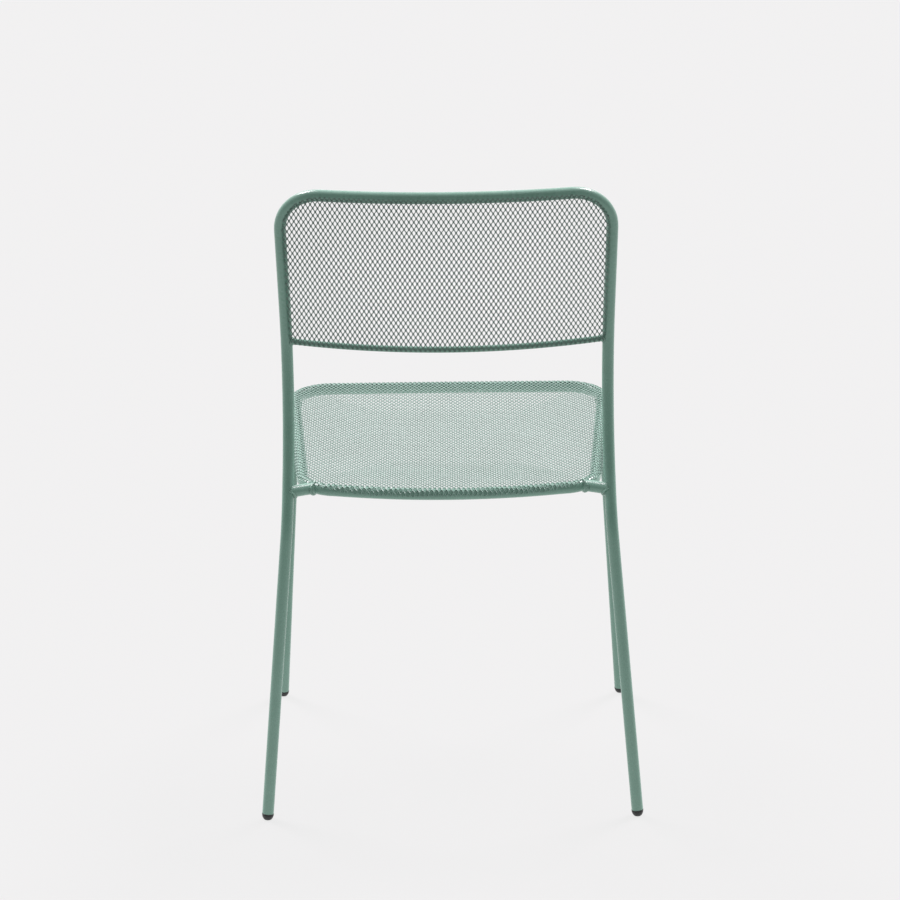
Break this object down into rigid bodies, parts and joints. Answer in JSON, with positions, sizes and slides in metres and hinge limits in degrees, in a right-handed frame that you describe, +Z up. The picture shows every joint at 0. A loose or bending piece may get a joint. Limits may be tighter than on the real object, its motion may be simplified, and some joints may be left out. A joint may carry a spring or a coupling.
{
  "type": "stacking chair",
  "caption": "Stacking chair with a welded round-tube frame, a curved mesh backrest, a mesh seat and four splayed legs.",
  "frame": {"origin": "on the floor, at the middle of the chair's footprint", "axes": "+Z up; the sitter faces -Y, so the backrest is on the +Y side; +X is the sitter's left"},
  "size_m": [0.4912, 0.492, 0.8296],
  "materials": {
    "frame_paint": "satin powder coat",
    "mesh_paint": "satin powder coat",
    "weld_paint": "satin powder coat over weld metal",
    "foot_plastic": "matt black moulding"
  },
  "bodies": {
    "root": {"back_hoop": "frame_paint", "seat_ring": "frame_paint", "lower_back_rail": "frame_paint", "seat_link_left": "frame_paint", "front_leg_left": "frame_paint", "seat_link_right": "frame_paint", "front_leg_right": "frame_paint", "weld_link_ring_left": "weld_paint", "weld_link_ring_right": "weld_paint", "weld_link_upright_left": "weld_paint", "weld_link_upright_right": "weld_paint", "weld_leg_ring_left": "weld_paint", "weld_leg_ring_right": "weld_paint", "weld_rail_left": "weld_paint", "weld_rail_right": "weld_paint", "back_mesh_panel": "mesh_paint", "seat_mesh_panel": "mesh_paint", "foot_plug_rear_left": "foot_plastic", "foot_plug_rear_right": "foot_plastic", "foot_plug_front_left": "foot_plastic", "foot_plug_front_right": "foot_plastic"}
  },
  "joints": []
}
